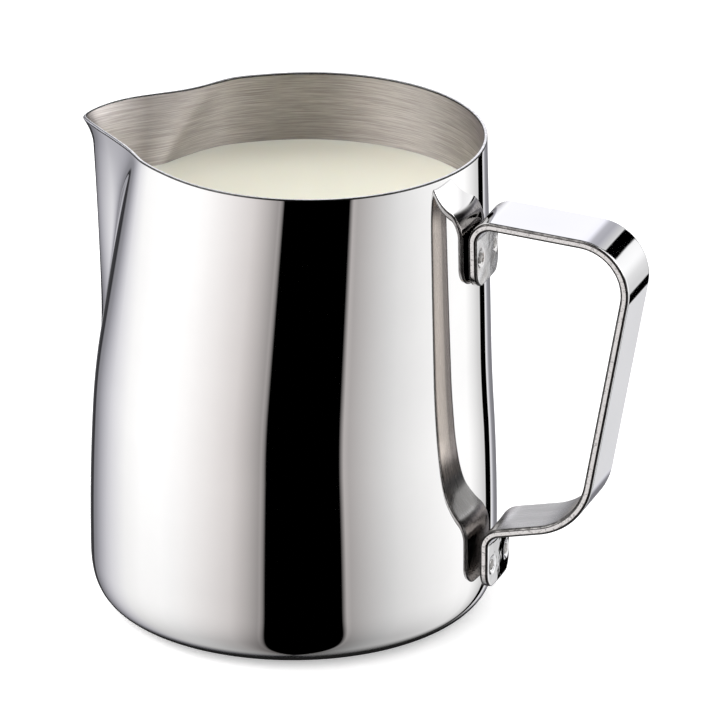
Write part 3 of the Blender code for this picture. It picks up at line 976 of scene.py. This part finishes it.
def card_light(nodes, azimuth, elevation):
    """Light below eye level, the front gap widening downwards and the cards moving with it."""
    below_gap = nodes.math("MAXIMUM", nodes.math("SUBTRACT", GAP_LEVEL, elevation), 0.0)
    spread = nodes.math("ADD", nodes.times(below_gap, GAP_SPREAD), 1.0)
    held = nodes.math("MAXIMUM", nodes.math("MINIMUM", azimuth, GAP_REACH), -GAP_REACH)
    shift = nodes.math("SUBTRACT", held, nodes.math("DIVIDE", held, spread))
    cards = angle_ramp(nodes, nodes.math("SUBTRACT", azimuth, shift), CARD_RING)
    return nodes.times(cards, angle_ramp(nodes, elevation, TABLE_FADE, -90, 0))


def ceiling_light(nodes, azimuth, elevation):
    """Light above eye level: wall, dark ceiling with a lamp in it, and soft boxes."""
    wall = angle_ramp(nodes, azimuth, UPPER_RING)
    overhead = nodes.math("MAXIMUM", wall, nodes.span(elevation, *OVERHEAD_LAMP))
    ceiling = nodes.times(overhead, angle_ramp(nodes, elevation, CEILING_FADE, 0, 90))
    boxes = nodes.times(angle_ramp(nodes, azimuth, BOX_RING), BOX_LIGHT)
    boxes = nodes.times(boxes, nodes.span(elevation, *BOX_FOOT, smooth=True))
    boxes = nodes.times(boxes, nodes.span(elevation, *BOX_TOP, smooth=True))
    return nodes.math("ADD", ceiling, boxes)


def clear_of_stand(nodes, azimuth, elevation):
    """0 on the light stand and 1 beside and above it."""
    lift = nodes.times(nodes.math("SUBTRACT", elevation, STAND_FOOT), STAND_LEAN)
    middle = nodes.math("ADD", lift, STAND_AZIMUTH)
    half_width = nodes.math("ADD", lift, STAND_HALF_WIDTH)
    off_middle = nodes.math("ABSOLUTE", nodes.math("SUBTRACT", azimuth, middle))
    beside = nodes.span(nodes.math("SUBTRACT", off_middle, half_width), -SOFT_SIDE, SOFT_SIDE)
    above = nodes.span(elevation, STAND_TOP - SOFT_END, STAND_TOP + SOFT_END)
    return nodes.math("MAXIMUM", beside, above)


def clear_of_head(nodes, azimuth, elevation):
    """0 on the head of the lamp and 1 all round it."""
    off_middle = nodes.math("ABSOLUTE", nodes.math("SUBTRACT", azimuth, HEAD_AZIMUTH))
    beside = nodes.span(off_middle, HEAD_HALF_WIDTH - SOFT_SIDE, HEAD_HALF_WIDTH + SOFT_SIDE)
    below = nodes.span(elevation, HEAD_FOOT, HEAD_FOOT - SOFT_END)
    above = nodes.span(elevation, HEAD_TOP - SOFT_END, HEAD_TOP + SOFT_END)
    return nodes.math("MAXIMUM", beside, nodes.math("MAXIMUM", below, above))


def mirrored_light(nodes, direction):
    """What polished steel sees, by direction."""
    azimuth, elevation = studio_angles(nodes, direction)
    above = nodes.span(elevation, *EYE_LEVEL, smooth=True)
    low = card_light(nodes, azimuth, elevation)
    light = nodes.mix(above, low, ceiling_light(nodes, azimuth, elevation))
    light = nodes.times(light, clear_of_stand(nodes, azimuth, elevation))
    light = nodes.times(light, clear_of_head(nodes, azimuth, elevation))
    tint = nodes.mix_colours(angle_ramp(nodes, azimuth, COOL_RING), WHITE, COOL_TINT)
    tint = nodes.mix_colours(angle_ramp(nodes, azimuth, WARM_RING), tint, WARM_TINT)
    inputs = {0: tint, 3: nodes.math("DIVIDE", light, STEEL_GREY)}
    return nodes.add("ShaderNodeVectorMath", inputs, operation="SCALE").outputs[0]


def matt_light(nodes, direction):
    """Even light with a broad key light from the left."""
    facing = nodes.vector("DOT_PRODUCT", direction, DIFFUSE_KEY_FROM)["Value"]
    lobe = nodes.math("POWER", nodes.math("MAXIMUM", facing, 0.0), DIFFUSE_KEY_SHARPNESS)
    return nodes.math("ADD", nodes.times(lobe, DIFFUSE_KEY), DIFFUSE_LIGHT)


def make_studio():
    """Light of the studio, one for mirror finishes, one for matt ones and a white backdrop."""
    world = bpy.data.worlds.new("studio")
    world.use_nodes = True
    world.cycles.sampling_method = "NONE"
    bpy.context.scene.world = world
    nodes = Nodes(world.node_tree)
    direction = nodes.add("ShaderNodeTexCoord").outputs["Generated"]
    ray = nodes.add("ShaderNodeLightPath").outputs
    plain = nodes.mix(ray["Is Camera Ray"], matt_light(nodes, direction), BACKDROP)
    seen = nodes.mix_colours(ray["Is Glossy Ray"], plain, mirrored_light(nodes, direction))
    background = nodes.add("ShaderNodeBackground", {"Color": seen, "Strength": 1.0})
    nodes.add("ShaderNodeOutputWorld", {"Surface": background.outputs[0]})


def make_camera():
    """Camera at the photo's angle."""
    data = bpy.data.cameras.new("camera")
    data.sensor_width = SENSOR
    data.lens = CAMERA_LENS
    data.clip_start, data.clip_end = CLIP
    camera = place_object("camera", data)
    x = CAMERA_REACH * math.sin(VIEW_AZIMUTH)
    y = -CAMERA_REACH * math.cos(VIEW_AZIMUTH)
    camera.location = (x, y, CAMERA_HEIGHT)
    camera.rotation_euler = (CAMERA_PITCH, 0.0, CAMERA_YAW)
    bpy.context.scene.camera = camera


def make_welds():
    """Four marks, two on each tab, each standing for the CAD node of its own name."""
    nugget = weld_steel()
    for level, z in WELD_LEVELS.items():
        centre = tab_x(z) if level == "upper" else lower_tab_x()
        for side, y in (("front", -WELD_OFFSET), ("back", WELD_OFFSET)):
            lean = TAB_WRAP * (MAX_RADIUS - math.sqrt(MAX_RADIUS ** 2 - y ** 2))
            face = centre + STRIP_THICKNESS / 2 - lean
            node = "spot_weld_" + level + "_" + side
            weld = make_weld(node + "_mark", face, y, z, nugget)
            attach(weld, "root")
            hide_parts(node)


def main():
    make_camera()
    make_studio()
    bpy.context.scene.view_settings.view_transform = "Standard"

    body = make_body(polished_steel(), corner_steel(), brushed_steel_inside(), turned_base(), rim_steel())
    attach(body, "root")
    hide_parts("pitcher_body")

    handle = make_handle(polished_strip(), tumbled_edge(), satin_strip(), shaded_rolled_edge())
    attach(handle, "root")
    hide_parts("handle")

    make_welds()

    make_milk(milk_material())
    make_floor(floor_material())
    make_shade(shade_material())


main()
